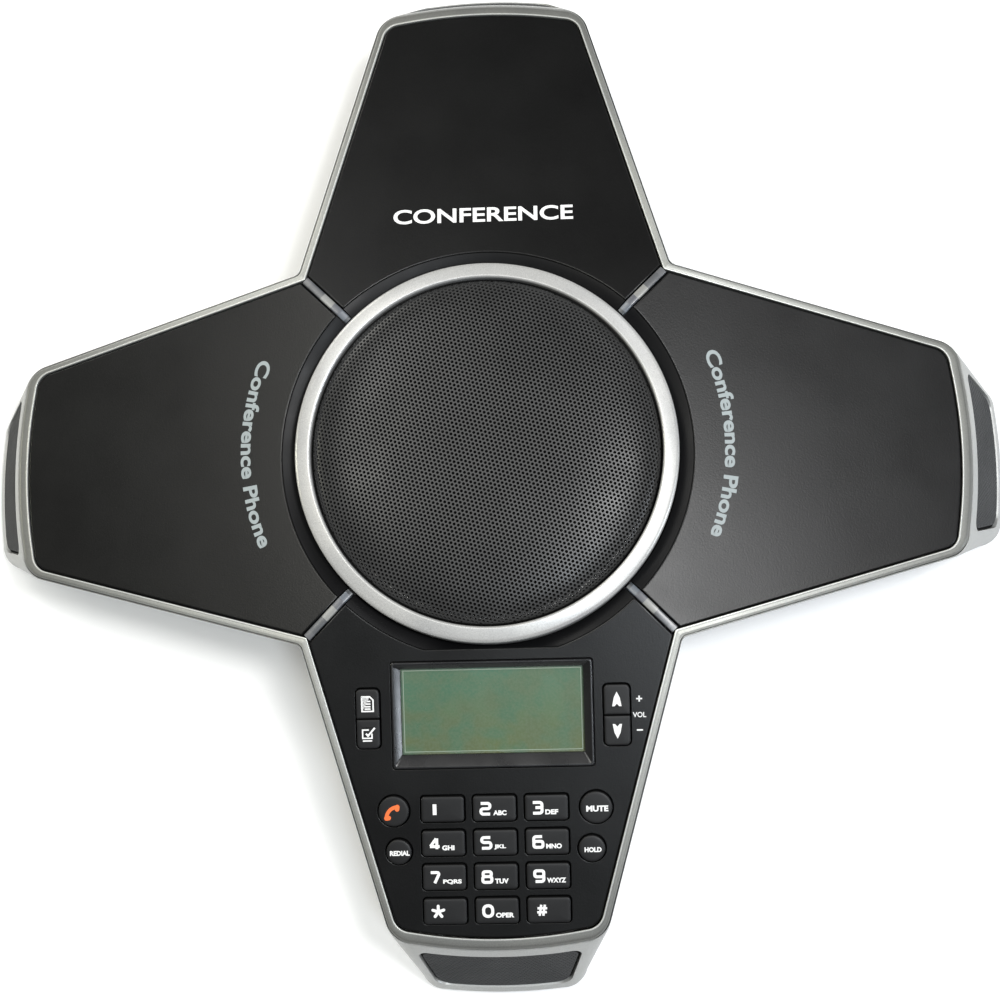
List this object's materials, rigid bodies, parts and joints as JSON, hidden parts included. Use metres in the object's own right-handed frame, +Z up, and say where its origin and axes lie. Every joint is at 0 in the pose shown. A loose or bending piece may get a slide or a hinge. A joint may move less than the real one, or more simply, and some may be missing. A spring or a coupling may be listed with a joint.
{
  "type": "conference speakerphone",
  "caption": "Four-armed desk conference phone with a round loudspeaker, light bars, microphone grilles at the arm ends, and a keypad arm with a display and push keys.",
  "frame": {"origin": "on the phone's vertical axis, at the level of the table under its four rubber feet", "axes": "+Z up; -Y towards the end of the keypad arm; +X towards the end of the right arm"},
  "size_m": [0.3308, 0.3308, 0.065],
  "materials": {
    "silver_housing": "silver paint, satin",
    "silver_rim": "silver paint, satin",
    "charcoal_panel": "fine grained, matt",
    "light_bar_lens": "translucent, smooth",
    "satin_silver": "satin silver",
    "black_mesh": "black coated, perforated",
    "black_plastic": "semi-gloss",
    "display_window": "clear window",
    "display_glass": "reflective display, unlit",
    "keycap": "satin, printed legends",
    "rubber": "matt",
    "circuit_board": "solder mask",
    "basket_steel": "pressed steel",
    "cone_paper": "treated paper",
    "ferrite": "ground ferrite",
    "connector": "moulded",
    "screw_steel": "zinc plated"
  },
  "bodies": {
    "base": {"bottom_housing": "silver_housing", "top_frame": "silver_rim", "rear_panel": "charcoal_panel", "left_panel": "charcoal_panel", "right_panel": "charcoal_panel", "keypad_panel": "charcoal_panel", "light_bar_rear_right": "light_bar_lens", "light_bar_rear_left": "light_bar_lens", "light_bar_front_left": "light_bar_lens", "light_bar_front_right": "light_bar_lens", "speaker_trim_ring": "satin_silver", "speaker_grille": "black_mesh", "speaker_well": "black_plastic", "end_grille_front": "black_mesh", "end_grille_right": "black_mesh", "end_grille_rear": "black_mesh", "end_grille_left": "black_mesh", "display_bezel": "black_plastic", "display_window": "display_window", "lcd_module": "display_glass", "key_mat": "rubber", "keypad_board": "circuit_board", "main_board": "circuit_board", "speaker_basket": "basket_steel", "speaker_cone": "cone_paper", "speaker_magnet": "ferrite", "mic_boot_front": "rubber", "mic_boot_right": "rubber", "mic_boot_rear": "rubber", "mic_boot_left": "rubber", "line_jack": "connector", "power_jack": "connector", "rubber_foot_front": "rubber", "rubber_foot_right": "rubber", "rubber_foot_rear": "rubber", "rubber_foot_left": "rubber", "case_screw_front": "screw_steel", "case_screw_right": "screw_steel", "case_screw_rear": "screw_steel", "case_screw_left": "screw_steel"},
    "key_1": {"key_1": "keycap"},
    "key_2": {"key_2": "keycap"},
    "key_3": {"key_3": "keycap"},
    "key_4": {"key_4": "keycap"},
    "key_5": {"key_5": "keycap"},
    "key_6": {"key_6": "keycap"},
    "key_7": {"key_7": "keycap"},
    "key_8": {"key_8": "keycap"},
    "key_9": {"key_9": "keycap"},
    "key_star": {"key_star": "keycap"},
    "key_0": {"key_0": "keycap"},
    "key_hash": {"key_hash": "keycap"},
    "key_talk": {"key_talk": "keycap"},
    "key_redial": {"key_redial": "keycap"},
    "key_mute": {"key_mute": "keycap"},
    "key_hold": {"key_hold": "keycap"},
    "key_phonebook": {"key_phonebook": "keycap"},
    "key_edit": {"key_edit": "keycap"},
    "key_volume_up": {"key_volume_up": "keycap"},
    "key_volume_down": {"key_volume_down": "keycap"}
  },
  "joints": [
    {"name": "press_1", "type": "slide", "parent": "base", "child": "key_1", "axis": [0, 0.175, -0.9846], "range_m": [0, 0.001], "stiffness_N_per_m": 600},
    {"name": "press_2", "type": "slide", "parent": "base", "child": "key_2", "axis": [0, 0.175, -0.9846], "range_m": [0, 0.001], "stiffness_N_per_m": 600},
    {"name": "press_3", "type": "slide", "parent": "base", "child": "key_3", "axis": [0, 0.175, -0.9846], "range_m": [0, 0.001], "stiffness_N_per_m": 600},
    {"name": "press_4", "type": "slide", "parent": "base", "child": "key_4", "axis": [0, 0.175, -0.9846], "range_m": [0, 0.001], "stiffness_N_per_m": 600},
    {"name": "press_5", "type": "slide", "parent": "base", "child": "key_5", "axis": [0, 0.175, -0.9846], "range_m": [0, 0.001], "stiffness_N_per_m": 600},
    {"name": "press_6", "type": "slide", "parent": "base", "child": "key_6", "axis": [0, 0.175, -0.9846], "range_m": [0, 0.001], "stiffness_N_per_m": 600},
    {"name": "press_7", "type": "slide", "parent": "base", "child": "key_7", "axis": [0, 0.175, -0.9846], "range_m": [0, 0.001], "stiffness_N_per_m": 600},
    {"name": "press_8", "type": "slide", "parent": "base", "child": "key_8", "axis": [0, 0.175, -0.9846], "range_m": [0, 0.001], "stiffness_N_per_m": 600},
    {"name": "press_9", "type": "slide", "parent": "base", "child": "key_9", "axis": [0, 0.175, -0.9846], "range_m": [0, 0.001], "stiffness_N_per_m": 600},
    {"name": "press_star", "type": "slide", "parent": "base", "child": "key_star", "axis": [0, 0.175, -0.9846], "range_m": [0, 0.001], "stiffness_N_per_m": 600},
    {"name": "press_0", "type": "slide", "parent": "base", "child": "key_0", "axis": [0, 0.175, -0.9846], "range_m": [0, 0.001], "stiffness_N_per_m": 600},
    {"name": "press_hash", "type": "slide", "parent": "base", "child": "key_hash", "axis": [0, 0.175, -0.9846], "range_m": [0, 0.001], "stiffness_N_per_m": 600},
    {"name": "press_talk", "type": "slide", "parent": "base", "child": "key_talk", "axis": [0, 0.175, -0.9846], "range_m": [0, 0.001], "stiffness_N_per_m": 600},
    {"name": "press_redial", "type": "slide", "parent": "base", "child": "key_redial", "axis": [0, 0.175, -0.9846], "range_m": [0, 0.001], "stiffness_N_per_m": 600},
    {"name": "press_mute", "type": "slide", "parent": "base", "child": "key_mute", "axis": [0, 0.175, -0.9846], "range_m": [0, 0.001], "stiffness_N_per_m": 600},
    {"name": "press_hold", "type": "slide", "parent": "base", "child": "key_hold", "axis": [0, 0.175, -0.9846], "range_m": [0, 0.001], "stiffness_N_per_m": 600},
    {"name": "press_phonebook", "type": "slide", "parent": "base", "child": "key_phonebook", "axis": [0, 0.175, -0.9846], "range_m": [0, 0.001], "stiffness_N_per_m": 600},
    {"name": "press_edit", "type": "slide", "parent": "base", "child": "key_edit", "axis": [0, 0.175, -0.9846], "range_m": [0, 0.001], "stiffness_N_per_m": 600},
    {"name": "press_volume_up", "type": "slide", "parent": "base", "child": "key_volume_up", "axis": [0, 0.175, -0.9846], "range_m": [0, 0.001], "stiffness_N_per_m": 600},
    {"name": "press_volume_down", "type": "slide", "parent": "base", "child": "key_volume_down", "axis": [0, 0.175, -0.9846], "range_m": [0, 0.001], "stiffness_N_per_m": 600}
  ]
}
